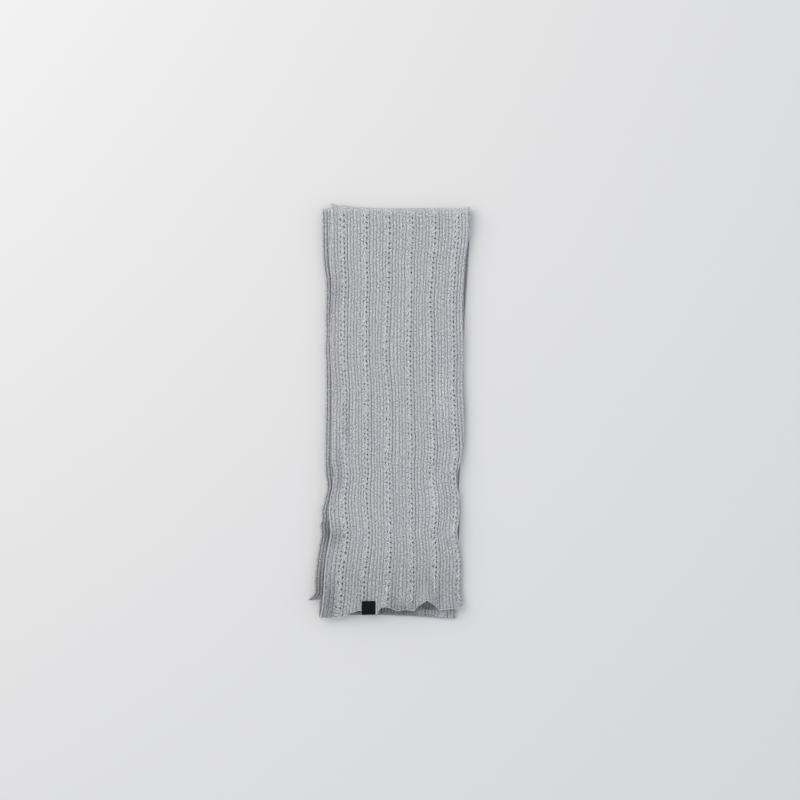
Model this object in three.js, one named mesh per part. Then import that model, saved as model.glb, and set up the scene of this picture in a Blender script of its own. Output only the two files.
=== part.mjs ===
// A long rib-knit scarf, folded in half twice across its length and laid flat.
// Millimetres. Seen from above, +X is to the right and +Y is towards the head folds. +Z is up.
//
// The one strip of cloth runs from its first free hem, at the foot, along the top stretch, round the
// outer head fold and back under everything as the base stretch. Then it goes round the foot fold,
// along the third stretch, round the inner head fold and along the second stretch to its other hem.
// The third and base stretches are hidden but for their edges, so they share one solid that is
// parted into two layers all round its rim.
import * as THREE from "three";

// The knit: lengthwise ribs over a plain wall.
const RIBS = 42;
const CLOTH = 1.9;
const RIB_RISE = 0.55;

// The undersides of the four layers. A layer lies 0.4 mm above the one below it.
const THIRD_Z = CLOTH + 0.4;
const SECOND_Z = THIRD_Z + CLOTH + 0.4;
const TOP_Z = SECOND_Z + CLOTH + 0.4;

// Every stretch is measured by `down`, the distance from the head line towards the foot.
const HEAD_Y = 223;
const HEM = 442; // the top stretch's free hem
const SECOND_HEM = 432;
const FOOT = 451;
const HEM_BLEND = 44; // how far up the cloth a hem or fold line's own shape is felt
const BEND = 6; // where the head folds leave the flat stretches
const SEAM = 0.3;

// How far the folds swell the pile, and how far along it that is felt.
const HEAD_SWELL = { top: 3.4, second: 3.0, reach: 38 };
const FOOT_SWELL = { top: 1.5, second: 1.3, third: 1.0, reach: 24 };

// The inner faces of the two head folds are half ellipses, `deep` along the cloth.
const OUTER_FOLD_DEEP = 4.1;
const INNER_FOLD_DEEP = 1.5;
const FOLD_STEPS = 7;
const FOOT_ROUND = 2.6;

// The slits that part the third and base stretches run in from their sides, and end at the foot fold.
const SLIT = { deep: 9, atFold: 0.5 };
const UNDERSIDE_RIBS = [42, 39, 36, 32, 28, 24, 20, 16, 12, 8, 4, 0];

const KNIT_GREY = 0xa9acb0;
const LABEL_NAVY = 0x1c2028;

// The top stretch's side edges, and how far each edge is lifted where it ripples.
const TOP_EDGES = [
  { down: 0, left: -63.8, right: 89.1, leftLift: 0, rightLift: 0 },
  { down: 22, left: -63.8, right: 89.0, leftLift: 0, rightLift: 0 },
  { down: 34, left: -64.1, right: 87.8, leftLift: 0, rightLift: 0 },
  { down: 46, left: -64.1, right: 85.8, leftLift: 0, rightLift: 0 },
  { down: 59, left: -63.9, right: 83.2, leftLift: 0.2, rightLift: 0 },
  { down: 82, left: -62.6, right: 83.2, leftLift: 0.8, rightLift: 0 },
  { down: 112, left: -63.8, right: 81.7, leftLift: 0.2, rightLift: 0 },
  { down: 156, left: -63.7, right: 82.6, leftLift: 0.2, rightLift: 0 },
  { down: 200, left: -61.6, right: 82.5, leftLift: 0.3, rightLift: 0 },
  { down: 224, left: -61.6, right: 83.8, leftLift: 0.3, rightLift: 0 },
  { down: 262, left: -61.6, right: 82.4, leftLift: 0.4, rightLift: 0 },
  { down: 278, left: -61.7, right: 78.9, leftLift: 1.4, rightLift: 0.8 },
  { down: 290, left: -59.6, right: 75.4, leftLift: 2.4, rightLift: 1.8 },
  { down: 303, left: -60.8, right: 74.7, leftLift: 2.0, rightLift: 2 },
  { down: 318, left: -64.2, right: 77.3, leftLift: 0.8, rightLift: 0.6 },
  { down: 334, left: -66.0, right: 78.2, leftLift: 0.3, rightLift: 0 },
  { down: 346, left: -65.4, right: 77.2, leftLift: 0.8, rightLift: 0.8 },
  { down: 357, left: -64.8, right: 75.3, leftLift: 1.8, rightLift: 1.4 },
  { down: 369, left: -66.6, right: 77.0, leftLift: 0.9, rightLift: 0.6 },
  { down: 387, left: -70.1, right: 79.2, leftLift: 0.3, rightLift: 0 },
  { down: 404, left: -71.5, right: 79.2, leftLift: 0.3, rightLift: 0 },
  { down: 420, left: -72.4, right: 79.4, leftLift: 0.2, rightLift: 0 },
  { down: 432, left: -74.0, right: 80.9, leftLift: 0, rightLift: 1.2 },
  { down: 442, left: -75.9, right: 82.7, leftLift: 0, rightLift: 2.6 },
];

// The top stretch's free hem: the line that it ends on, and the waves that draw it back and up.
const HEM_LINE = [
  { across: -76, down: 450.2 },
  { across: -54, down: 450.2 },
  { across: -40, down: 447.6 },
  { across: -23, down: 447.0 },
  { across: 10, down: 444.2 },
  { across: 55, down: 441.9 },
  { across: 72, down: 441.5 },
  { across: 83, down: 437.2 },
];
const HEM_WAVES = [
  { at: -41, reach: 11, back: 1.2, lift: 2.4 },
  { at: -4, reach: 13, back: 4.4, lift: 4.4 },
  { at: 20, reach: 9, back: 1.6, lift: 1.8 },
  { at: 42, reach: 12, back: 8.8, lift: 6.6 },
];

// The second stretch's side edges. Only the left one shows, with the hem's corner at its end.
const SECOND_EDGES = [
  { down: 0, left: -73.5, right: 79.2 },
  { down: 30, left: -73.2, right: 79.0 },
  { down: 60, left: -72.2, right: 78.6 },
  { down: 83, left: -69.3, right: 78.0 },
  { down: 118, left: -70.0, right: 77.0 },
  { down: 134, left: -69.4, right: 76.6 },
  { down: 154, left: -70.3, right: 76.2 },
  { down: 175, left: -69.4, right: 76.0 },
  { down: 211, left: -69.4, right: 75.6 },
  { down: 270, left: -70.3, right: 74.6 },
  { down: 290, left: -70.0, right: 73.8 },
  { down: 308, left: -68.2, right: 73.0 },
  { down: 322, left: -71.2, right: 72.4 },
  { down: 334, left: -74.3, right: 71.8 },
  { down: 342, left: -73.8, right: 71.4 },
  { down: 349, left: -75.6, right: 71.0 },
  { down: 358, left: -74.5, right: 70.6 },
  { down: 372, left: -76.9, right: 70.0 },
  { down: 388, left: -79.3, right: 69.4 },
  { down: 409, left: -81.3, right: 68.6 },
  { down: 422, left: -81.5, right: 68.0 },
  { down: 428, left: -83.6, right: 67.8 },
  { down: 432, left: -88.9, right: 67.6 },
];
const SECOND_HEM_LINE = [
  { across: -89, down: 432.0 },
  { across: -82, down: 431.0 },
  { across: -40, down: 436.0 },
  { across: 30, down: 441.4 },
  { across: 70, down: 442.0 },
];

// The third and base stretches' side edges. The base shows on the right, where it lies further out.
const THIRD_EDGES = [
  { down: 0, left: -72.8, right: 79.2 },
  { down: 57, left: -71.4, right: 78.4 },
  { down: 83, left: -68.6, right: 78.0 },
  { down: 211, left: -68.6, right: 76.0 },
  { down: 300, left: -67.4, right: 75.2 },
  { down: 334, left: -71.0, right: 75.0 },
  { down: 387, left: -75.0, right: 74.2 },
  { down: 451, left: -76.7, right: 73.2 },
];
const BASE_EDGES = [
  { down: 0, left: -63.8, right: 89.1 },
  { down: 35, left: -64.2, right: 88.9 },
  { down: 48, left: -64.4, right: 88.3 },
  { down: 74, left: -64.8, right: 86.5 },
  { down: 101, left: -65.2, right: 84.6 },
  { down: 129, left: -65.8, right: 83.3 },
  { down: 167, left: -66.4, right: 82.0 },
  { down: 211, left: -67.2, right: 81.6 },
  { down: 250, left: -67.6, right: 80.6 },
  { down: 288, left: -67.8, right: 78.6 },
  { down: 310, left: -69.2, right: 77.4 },
  { down: 328, left: -70.8, right: 78.1 },
  { down: 360, left: -73.4, right: 77.5 },
  { down: 382, left: -75.0, right: 76.4 },
  { down: 426, left: -76.4, right: 74.3 },
  { down: 451, left: -76.7, right: 73.2 },
];
const FOOT_FOLD_LINE = [
  { across: -77, down: 449.6 },
  { across: -66, down: 448.2 },
  { across: -12, down: 447.0 },
  { across: 34, down: 448.8 },
  { across: 60, down: 450.8 },
  { across: 74, down: 451.0 },
];

// How far the outer head fold's edge stands beyond the head line. Its two ends flare into small ears.
const HEAD_LINE = [
  { across: -64, beyond: 4.9 },
  { across: -61, beyond: 4.2 },
  { across: -57, beyond: 3.2 },
  { across: -48, beyond: 2.6 },
  { across: -36, beyond: 1.2 },
  { across: -14, beyond: 0 },
  { across: 80, beyond: 0 },
  { across: 85, beyond: 0.5 },
  { across: 89.1, beyond: 1.9 },
];
// The inner head fold reaches the head line only on the left, where nothing wraps it.
const INNER_HEAD_LINE = [
  { across: -74, beyond: 1.9 },
  { across: -62, beyond: 1.8 },
  { across: -34, beyond: 0 },
  { across: 80, beyond: 0 },
];

// Soft ridges along the top stretch, highest at `down`.
const TOP_CREASES = [
  { across: -70, down: 420, width: 7, length: 44, rise: 1.1 },
  { across: -46, down: 415, width: 8, length: 50, rise: 0.7 },
  { across: 58, down: 330, width: 12, length: 70, rise: 0.7 },
  { across: -40, down: 250, width: 14, length: 90, rise: 0.5 },
  { across: 40, down: 120, width: 16, length: 80, rise: 0.5 },
];
const LIFT_REACH = 13; // how far in from a side edge its lift is felt
const HEM_REACH = 26; // how far up from the hem its waves are felt
const SAG_START = 3; // how far past the layer below it a stretch starts to sag
const SAG_SLOPE = 0.28;

const LABEL = { left: 0.286, right: 0.381, high: 429.3, low: 442.2, thick: 0.9, steps: 6 };

const bump = (t) => (Math.abs(t) < 1 ? 0.5 + 0.5 * Math.cos(Math.PI * t) : 0);
const bell = (t) => Math.exp(-t * t);
const ease = (t) => THREE.MathUtils.smoothstep(t, 0, 1);

// A named column of a table at a place between its rows, on a smooth curve through them.
function between(rows, key, column, place) {
  const last = rows.length - 1;
  if (place <= rows[0][key]) return rows[0][column];
  if (place >= rows[last][key]) return rows[last][column];
  const i = rows.findIndex((row) => row[key] > place) - 1;
  const slope = (k) => {
    const before = rows[Math.max(0, k - 1)];
    const after = rows[Math.min(last, k + 1)];
    return (after[column] - before[column]) / (after[key] - before[key]);
  };
  const span = rows[i + 1][key] - rows[i][key];
  const t = (place - rows[i][key]) / span;
  const rise = rows[i + 1][column] - rows[i][column];
  const a = slope(i) * span - rise;
  const b = rise - slope(i + 1) * span;
  return rows[i][column] + t * rise + t * (1 - t) * (a * (1 - t) + b * t);
}

const headSwell = (down) => bell(Math.max(0, down - BEND) / HEAD_SWELL.reach);
const footSwell = (down) => bell(Math.max(0, HEM - down) / FOOT_SWELL.reach);

// A station is one row across the cloth. It holds the inner face's place along the cloth (`down`) and
// its height, the way that the cloth faces there (`tilt`, 0 up and PI down), and how far the row
// follows the fold's own edge line (`edge`).
const flat = (down) => ({ down, height: null, tilt: 0, edge: ease(1 - (down - BEND) / 30) });

// The stations round a head fold, from the flat cloth above to the seam below it.
function headFold(upper, lower, deep) {
  const middle = (upper + lower) / 2;
  const high = (upper - lower) / 2;
  return Array.from({ length: FOLD_STEPS }, (_, k) => {
    const tilt = (Math.PI * (k + 1)) / FOLD_STEPS;
    return {
      down: BEND - deep * Math.sin(tilt),
      height: middle + high * Math.cos(tilt),
      tilt,
      edge: tilt < Math.PI / 2 ? 1 : Math.sin(tilt),
    };
  });
}

// A face's points: one row for each station, one point for each place `u` across the cloth.
function face(stations, places, pointAt, offsetAt) {
  return stations.map((station) => places.map((u) => {
    const { x, down, height } = pointAt(u, station);
    const out = offsetAt(u, station);
    return new THREE.Vector3(
      x,
      HEAD_Y - down + out * Math.sin(station.tilt),
      height + out * Math.cos(station.tilt),
    );
  }));
}

// Where the top stretch's inner face lies.
function topPoint(u, station) {
  const { down, edge } = station;
  const left = between(TOP_EDGES, "down", "left", down);
  const right = between(TOP_EDGES, "down", "right", down);
  const x = THREE.MathUtils.lerp(left, right, u);
  const hemPull = ease((down - HEM + HEM_BLEND) / HEM_BLEND);
  const hem = between(HEM_LINE, "across", "down", x) - HEM;
  const nearHem = bump((HEM - down) / HEM_REACH);
  let shift = hem * hemPull - edge * between(HEAD_LINE, "across", "beyond", x);
  if (station.height !== null) return { x, down: down + shift, height: station.height };
  let height = TOP_Z + HEAD_SWELL.top * headSwell(down) + FOOT_SWELL.top * footSwell(down);
  height += between(TOP_EDGES, "down", "leftLift", down) * bell((x - left) / LIFT_REACH);
  height += between(TOP_EDGES, "down", "rightLift", down) * bell((right - x) / LIFT_REACH);
  const past = x - between(SECOND_EDGES, "down", "right", down) - SAG_START;
  height -= SAG_SLOPE * Math.max(0, past) * (1 - edge);
  for (const wave of HEM_WAVES) {
    const share = bump((x - wave.at) / wave.reach);
    shift -= wave.back * share * nearHem;
    height += wave.lift * share * nearHem;
  }
  for (const crease of TOP_CREASES) {
    const across = bell((x - crease.across) / crease.width);
    height += crease.rise * across * bump((down - crease.down) / crease.length);
  }
  return { x, down: down + shift, height };
}

// Where the second stretch's inner face lies. Past the pile's left edge it sags towards the table.
function secondPoint(u, station) {
  const { down, edge } = station;
  const left = between(SECOND_EDGES, "down", "left", down);
  const right = between(SECOND_EDGES, "down", "right", down);
  const x = THREE.MathUtils.lerp(left, right, u);
  const hem = between(SECOND_HEM_LINE, "across", "down", x) - SECOND_HEM;
  const hemPull = ease((down - SECOND_HEM + HEM_BLEND) / HEM_BLEND);
  const place = down + hem * hemPull - edge * between(INNER_HEAD_LINE, "across", "beyond", x);
  if (station.height !== null) return { x, down: place, height: station.height };
  const past = between(THIRD_EDGES, "down", "left", down) - SAG_START - x;
  const height = SECOND_Z + HEAD_SWELL.second * headSwell(down) + FOOT_SWELL.second * footSwell(down);
  return { x, down: place, height: height - SAG_SLOPE * Math.max(0, past) };
}

// Places across the cloth: a valley and a ridge for each rib, from the first rib to the last.
const ribPlaces = (first, last) =>
  Array.from({ length: 2 * (last - first) + 1 }, (_, k) => (first + k / 2) / RIBS);
const evenPlaces = (from, to, steps) =>
  Array.from({ length: steps + 1 }, (_, k) => from + ((to - from) * k) / steps);
const isValley = (u) => Math.abs(u * RIBS - Math.round(u * RIBS)) < 1e-6;

// The cloth's thickness at a place: less by the rib's rise in the valleys, where the ribs show.
const ribbed = (show) => (u, station) => CLOTH - (isValley(u) ? RIB_RISE * show(u, station) : 0);
const plain = (thickness) => () => thickness;

// A closed wall from its outer and inner faces, which have the same rows and may differ in columns.
function wall(outer, inner) {
  const positions = [];
  const triangle = (a, b, c) => positions.push(...a.toArray(), ...b.toArray(), ...c.toArray());
  const quad = (a, b, c, d) => {
    triangle(a, b, c);
    triangle(a, c, d);
  };
  const sheet = (grid, flip) => {
    for (let r = 0; r + 1 < grid.length; r++) {
      for (let c = 0; c + 1 < grid[r].length; c++) {
        const corners = [grid[r][c], grid[r + 1][c], grid[r + 1][c + 1], grid[r][c + 1]];
        quad(...(flip ? corners.reverse() : corners));
      }
    }
  };
  // Triangles that join two rows of points of different numbers, as a zip does.
  const zip = (upper, lower, flip) => {
    let i = 0;
    let k = 0;
    while (i + 1 < upper.length || k + 1 < lower.length) {
      const upperNext = i + 1 < upper.length ? upper[i + 1].x : Infinity;
      const lowerNext = k + 1 < lower.length ? lower[k + 1].x : Infinity;
      const corners =
        upperNext <= lowerNext
          ? [upper[i], lower[k], upper[++i]]
          : [upper[i], lower[k], lower[++k]];
      triangle(...(flip ? corners.reverse() : corners));
    }
  };
  const last = outer.length - 1;
  sheet(outer, false);
  sheet(inner, true);
  for (let r = 0; r < last; r++) {
    quad(inner[r][0], inner[r + 1][0], outer[r + 1][0], outer[r][0]);
    quad(outer[r].at(-1), outer[r + 1].at(-1), inner[r + 1].at(-1), inner[r].at(-1));
  }
  zip(outer[0], inner[0], true);
  zip(outer[last], inner[last], false);
  return new THREE.BufferGeometry().setAttribute(
    "position",
    new THREE.Float32BufferAttribute(positions, 3),
  );
}

function topStretch() {
  const flats = [
    HEM, 436, 429, 420, 405, 387, 369, 357, 346, 332, 318, 303, 290, 278, 262,
    224, 156, 112, 82, 59, 46, 34, 20, BEND,
  ].map(flat);
  const fold = headFold(TOP_Z + HEAD_SWELL.top, CLOTH, OUTER_FOLD_DEEP);
  const stations = [...flats, ...fold].reverse();
  const show = (u, station) => 1 - ease((station.tilt - 0.6 * Math.PI) / (0.3 * Math.PI));
  return wall(
    face(stations, ribPlaces(0, RIBS), topPoint, ribbed(show)),
    face(stations, evenPlaces(0, 1, RIBS), topPoint, plain(0)),
  );
}

function secondStretch() {
  const flats = [
    SECOND_HEM, 428, 422, 409, 398, 388, 372, 358, 349, 342, 334, 322, 308, 290, 270,
    225, 175, 134, 100, 83, 60, 30, BEND,
  ].map(flat);
  const fold = headFold(SECOND_Z + HEAD_SWELL.second, THIRD_Z + CLOTH, INNER_FOLD_DEEP);
  const stations = [...flats, ...fold].reverse();
  const shownRibs = 7; // the rest of it is under the top stretch
  const rest = evenPlaces(shownRibs / RIBS, 1, 9).slice(1);
  const places = [...ribPlaces(0, shownRibs), ...rest];
  const show = (u, station) => (u * RIBS > shownRibs - 0.5 ? 0 : 1 - ease(station.tilt / Math.PI));
  return wall(
    face(stations, places, secondPoint, ribbed(show)),
    face(stations, evenPlaces(0, 1, 20), secondPoint, plain(0)),
  );
}

// One row of the lower stretches, as a closed outline: the third stretch's top face from left to
// right, the right slit, the underside from right to left, and the left slit.
function lowerOutline(down, squeeze) {
  const third = ["left", "right"].map((side) => between(THIRD_EDGES, "down", side, down));
  const base = ["left", "right"].map((side) => between(BASE_EDGES, "down", side, down));
  const round = ease((FOOT - FOOT_ROUND - down) / 12);
  const deep = THREE.MathUtils.lerp(SLIT.atFold, SLIT.deep, round);
  const slitLeft = Math.max(third[0], base[0]) + deep;
  const slitRight = Math.min(third[1], base[1]) - deep;
  const under = THIRD_Z + FOOT_SWELL.third * footSwell(down);
  const show = ease((down - 400) / 14);
  const outline = [
    ...ribPlaces(0, RIBS).map((u) => [
      THREE.MathUtils.lerp(...third, u),
      under + CLOTH - (isValley(u) ? RIB_RISE * show : 0),
    ]),
    [third[1], under],
    [slitRight, under],
    [slitRight, CLOTH],
    [base[1], CLOTH],
    ...UNDERSIDE_RIBS.map((rib) => [THREE.MathUtils.lerp(...base, rib / RIBS), 0]),
    [base[0], CLOTH],
    [slitLeft, CLOTH],
    [slitLeft, under],
    [third[0], under],
  ];
  const middle = (under + CLOTH) / 2;
  return outline.map(([x, z]) => {
    const line = between(FOOT_FOLD_LINE, "across", "down", x) - FOOT;
    const shift = line * ease((down - FOOT + HEM_BLEND) / HEM_BLEND);
    return new THREE.Vector3(x, HEAD_Y - down - shift, middle + (z - middle) * squeeze);
  });
}

// The third and base stretches with the foot fold that joins them. They are one solid, parted into
// its two layers by a slit along each side, and rounded off at the foot.
function lowerStretches() {
  const flats = [BEND + SEAM, 48, 83, 129, 211, 288, 310, 334, 360, 387, 410, 426, 440];
  const rings = [
    ...flats.map((down) => lowerOutline(down, 1)),
    ...evenPlaces(0, 0.44 * Math.PI, 4).map((turn) =>
      lowerOutline(FOOT - FOOT_ROUND * (1 - Math.sin(turn)), Math.cos(turn))),
  ];
  const positions = [];
  const triangle = (...corners) => corners.forEach((corner) => positions.push(...corner.toArray()));
  const polygon = (corners) => {
    const outline = corners.map(({ x, z }) => new THREE.Vector2(x, z));
    const turn = THREE.ShapeUtils.area(outline) < 0;
    for (const face of THREE.ShapeUtils.triangulateShape(outline, [])) {
      triangle(...(turn ? face : face.reverse()).map((k) => corners[k]));
    }
  };
  for (let r = 0; r + 1 < rings.length; r++) {
    rings[r].forEach((corner, k) => {
      const next = (k + 1) % rings[r].length;
      triangle(corner, rings[r + 1][k], rings[r + 1][next]);
      triangle(corner, rings[r + 1][next], rings[r][next]);
    });
  }
  polygon([...rings[0]].reverse());
  // The foot's end follows the fold line, so it is closed a few ribs at a time.
  const last = rings.at(-1);
  const topCount = 2 * RIBS + 1;
  const below = topCount + 4;
  UNDERSIDE_RIBS.slice(1).forEach((low, k) => {
    const high = UNDERSIDE_RIBS[k];
    polygon([
      ...last.slice(2 * low, 2 * high + 1),
      ...(k === 0 ? last.slice(topCount, below) : []),
      last[below + k],
      last[below + k + 1],
      ...(low === 0 ? last.slice(below + k + 2) : []),
    ]);
  });
  return new THREE.BufferGeometry().setAttribute(
    "position",
    new THREE.Float32BufferAttribute(positions, 3),
  );
}

// The woven label lies on the top stretch's ribs by its hem, made from the same points, moved out.
function label() {
  const stations = evenPlaces(LABEL.high, LABEL.low, LABEL.steps).map(flat);
  const places = evenPlaces(LABEL.left, LABEL.right, LABEL.steps);
  const lies = CLOTH + SEAM;
  return wall(
    face(stations, places, topPoint, plain(lies + LABEL.thick)),
    face(stations, places, topPoint, plain(lies)),
  );
}

function piece(name, geometry, colour, roughness) {
  geometry.computeVertexNormals();
  const material = new THREE.MeshStandardMaterial({ color: colour, roughness, metalness: 0 });
  const mesh = new THREE.Mesh(geometry, material);
  mesh.name = name;
  return mesh;
}

const scarf = new THREE.Group();
scarf.add(piece("top_stretch", topStretch(), KNIT_GREY, 0.95));
scarf.add(piece("second_stretch", secondStretch(), KNIT_GREY, 0.95));
scarf.add(piece("lower_stretches", lowerStretches(), KNIT_GREY, 0.95));
scarf.add(piece("label", label(), LABEL_NAVY, 0.8));

// The origin is under the middle of the whole scarf, on the surface that it lies on.
const box = new THREE.Box3().setFromObject(scarf);
const middle = box.getCenter(new THREE.Vector3());
scarf.position.set(-middle.x, -middle.y, -box.min.z);

export default scarf;
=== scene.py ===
# A long rib-knit scarf with pointelle stripes, folded in half twice across its length and laid flat.
# Sizes in the dictionaries are millimetres. The scene itself is in metres.
import math

import bpy
import numpy as np
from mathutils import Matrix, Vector


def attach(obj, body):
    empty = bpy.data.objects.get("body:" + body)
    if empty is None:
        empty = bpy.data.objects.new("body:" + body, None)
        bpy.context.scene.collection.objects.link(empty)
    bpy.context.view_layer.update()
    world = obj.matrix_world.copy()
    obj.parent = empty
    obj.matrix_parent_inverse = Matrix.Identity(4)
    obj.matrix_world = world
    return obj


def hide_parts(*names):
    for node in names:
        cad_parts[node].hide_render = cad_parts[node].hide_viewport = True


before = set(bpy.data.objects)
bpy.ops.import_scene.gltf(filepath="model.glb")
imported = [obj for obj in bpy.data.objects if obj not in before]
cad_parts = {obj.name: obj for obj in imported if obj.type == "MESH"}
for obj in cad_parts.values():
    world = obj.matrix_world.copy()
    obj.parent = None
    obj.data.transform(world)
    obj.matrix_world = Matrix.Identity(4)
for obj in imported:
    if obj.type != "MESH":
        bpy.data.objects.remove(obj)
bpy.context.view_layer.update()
mm = 0.001
print("frame loaded")

# The cloth itself. A layer is one wall of the solids, with the knit's ribs standing up inside it.
cloth = {
    "wall": 1.9,
    "gap": 0.4,
    "thickness": 0.7,      # the knitted sheet, before its ribs stand up
    "ribs": 42,
    "ribPitch": 3.5,
    "selvedge": 0.7,       # plain edge beyond the outer ribs, in rib pitches
    "headY": 223,          # from the middle of the scarf to the line of the head folds
    "middleX": -0.106,     # the middle of the scarf's box, where the frame's origin is
    "middleY": 0.331,
}
thirdZ = cloth["wall"] + cloth["gap"]
secondZ = thirdZ + cloth["wall"] + cloth["gap"]
topZ = secondZ + cloth["wall"] + cloth["gap"]

# The three folds. The inner face of a fold is half an ellipse, "deep" along the cloth.
folds = {
    "bend": 6,             # where the head folds leave the flat stretches
    "outerDeep": 4.1,
    "innerDeep": 1.5,
    "foot": 451,
    "lineReach": 30,       # how far down the cloth the line of a head fold is felt
    "footReach": 44,       # and how far up that of the foot fold
    "headSwell": {"top": 3.4, "second": 3.0, "reach": 38},
    "footSwell": {"top": 0.7, "second": 0.7, "third": 1.0, "reach": 24, "at": 442},
}
# how deep each head fold is, and the heights of the faces that it joins
outerFold = (folds["outerDeep"], topZ + folds["headSwell"]["top"], cloth["wall"])
innerFold = (folds["innerDeep"], secondZ + folds["headSwell"]["second"], thirdZ + cloth["wall"])
headLine = {
    "across": [-64, -61, -57, -48, -36, -14, 80, 85, 89.1],
    "beyond": [6.2, 5.2, 4.2, 3.6, 2.2, 1.0, 1.0, 1.5, 2.9],
}
innerHeadLine = {"across": [-74, -62, -34, 80], "beyond": [3.1, 3.0, 1.0, 1.0]}
footLine = {
    "across": [-77, -66, -12, 34, 60, 74],
    "down": [451.0, 449.6, 448.6, 450.4, 452.4, 452.6],
}

topEdges = {
    "down": [0, 22, 34, 46, 59, 82, 112, 156, 200, 224, 262, 278,
             290, 303, 318, 334, 346, 357, 369, 387, 404, 420, 432, 442],
    "left": [-63.8, -63.8, -64.1, -64.1, -63.9, -62.6, -63.8, -63.7, -61.6, -61.6, -61.6, -61.7,
             -59.6, -60.8, -64.2, -65.6, -64.6, -63.7, -65.6, -69.2, -70.8, -71.7, -73.3, -75.4],
    "right": [88.8, 88.6, 87.4, 85.6, 83.4, 82.4, 81.4, 81.9, 81.8, 83.0, 81.8, 78.6,
              75.4, 74.7, 77.3, 78.2, 76.8, 74.9, 76.8, 79.2, 79.2, 79.2, 79.8, 81.3],
    "leftLift": [0, 0.2, 0.4, 0.8, 1.6, 2.6, 1.0, 0.6, 0.6, 0.8, 1.2, 2.6,
                 3.4, 2.8, 1.4, 1.6, 3.8, 5.4, 3.0, 1.2, 1.8, 3.4, 4.0, 3.6],
    "rightLift": [0, 0, 0, 0, 0, 0, 0, 0, 0, 0, 0, 1.0,
                  2.2, 2.2, 0.6, 0, 1.6, 3.2, 1.0, 0, 0, 0, 1.2, 2.8],
}
# The ribs that lie at the top stretch's two edges. Where the number on the left is below that of the
# selvedge, the outer ribs are spread; where the one on the right is small, ribs are rolled under.
topRibs = {
    "down": [0, 60, 95, 131, 166, 201, 236, 271, 307, 342, 377, 412, 442],
    "left": [0.0, -0.45, -0.6, -0.55, -0.35, -0.6, -0.4, -0.35, -0.6, -1.5, -1.7, -1.5, -1.4],
    "right": [42.7, 42.0, 42.3, 42.2, 42.1, 42.3, 42.1, 41.0, 40.0, 40.1, 39.5, 39.6, 39.7],
    "spread": 5,
}
# Where ribs have drifted aside: rib, down, reach across in ribs, reach along, shift to the right
topDrifts = [
    (17.5, 160, 5, 60, -2.2),
    (24.5, 112, 4, 50, 1.7),
    (31.5, 95, 4, 40, -1.1),
    (17.5, 271, 5, 34, -1.6),
    (10.5, 308, 4, 28, -1.3),
    (31.5, 330, 5, 60, 1.7),
    (10.5, 412, 4, 34, -1.4),
    (24.5, 415, 4, 34, 1.6),
]
topHem = {
    "at": 442,
    "blend": 44,
    "across": [-76, -54, -47, -43, -37, -32, -27, -17, -13, -10, -7, -2, 3, 7,
               11, 14, 22, 27, 30, 34, 37.5, 41, 42.5, 45, 49.5, 53, 55.5, 64, 68, 73, 78, 81.5],
    "down": [450.2, 450.0, 447.0, 445.2, 443.2, 442.0, 443.8, 446.4, 445.4, 440.4, 438.4,
             438.2, 440.0, 442.2, 442.6, 441.6, 441.4, 442.4, 439.6, 436.0, 433.4, 431.2,
             430.6, 432.4, 435.6, 439.4, 441.4, 441.0, 440.2, 440.2, 438.8, 437.2],
    "reach": 30,
    "waves": [  # at, reach, lift
        (-38, 16, 4.4),
        (-4, 14, 7.0),
        (20, 14, 5.2),
        (42, 16, 9.6),
        (66, 12, 3.0),
    ],
}
topCreases = [  # across, down, width, length, rise
    (-69, 424, 6, 40, 2.2),
    (-60, 430, 5, 28, -1.5),
    (-48, 415, 8, 50, 1.0),
    (-53, 236, 7, 46, 2.4),
    (-45, 238, 4, 46, -1.3),
    (-37, 250, 9, 60, 1.2),
    (-52, 279, 4.5, 40, -1.6),
    (-56, 95, 8, 34, -1.2),
    (-60, 361, 7, 24, -1.6),
    (57, 318, 10, 60, 1.8),
    (64, 212, 12, 50, 2.0),
    (75, 118, 6, 34, -1.0),
    (78, 178, 6, 40, -1.2),
    (72, 300, 6, 40, -1.0),
    (40, 120, 14, 80, 0.7),
    (0, 330, 22, 110, 0.8),
]
# Painted shade in creases, dips and gutters, and painted light on a few ridges where darker by is below 0
topPaintedSpots = [  # rib, down, reach in ribs, reach along, darker by
    (2, 96, 5, 26, 0.09),
    (1.5, 190, 4, 36, 0.05),
    (3.9, 236, 1.8, 38, 0.12),
    (0.9, 292, 4, 36, 0.1),
    (1.2, 361, 4, 22, 0.2),
    (0.9, 426, 3, 34, 0.18),
    (36.3, 212, 6, 46, -0.08),
    (32.4, 317, 3.5, 40, -0.07),
    (40, 18, 6, 44, -0.1),
    (22.3, 441, 4, 12, 0.25),
]
# painted shade on the second stretch: in the gutter by its left edge, towards its hem, and in the hollow
# under the top hem's highest wave
secondPaintedSpots = [
    (2.2, 358, 2.8, 22, 0.4),
    (3.0, 410, 5, 60, 0.16),
    (35.6, 432, 7, 16, 0.45),
]
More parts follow.
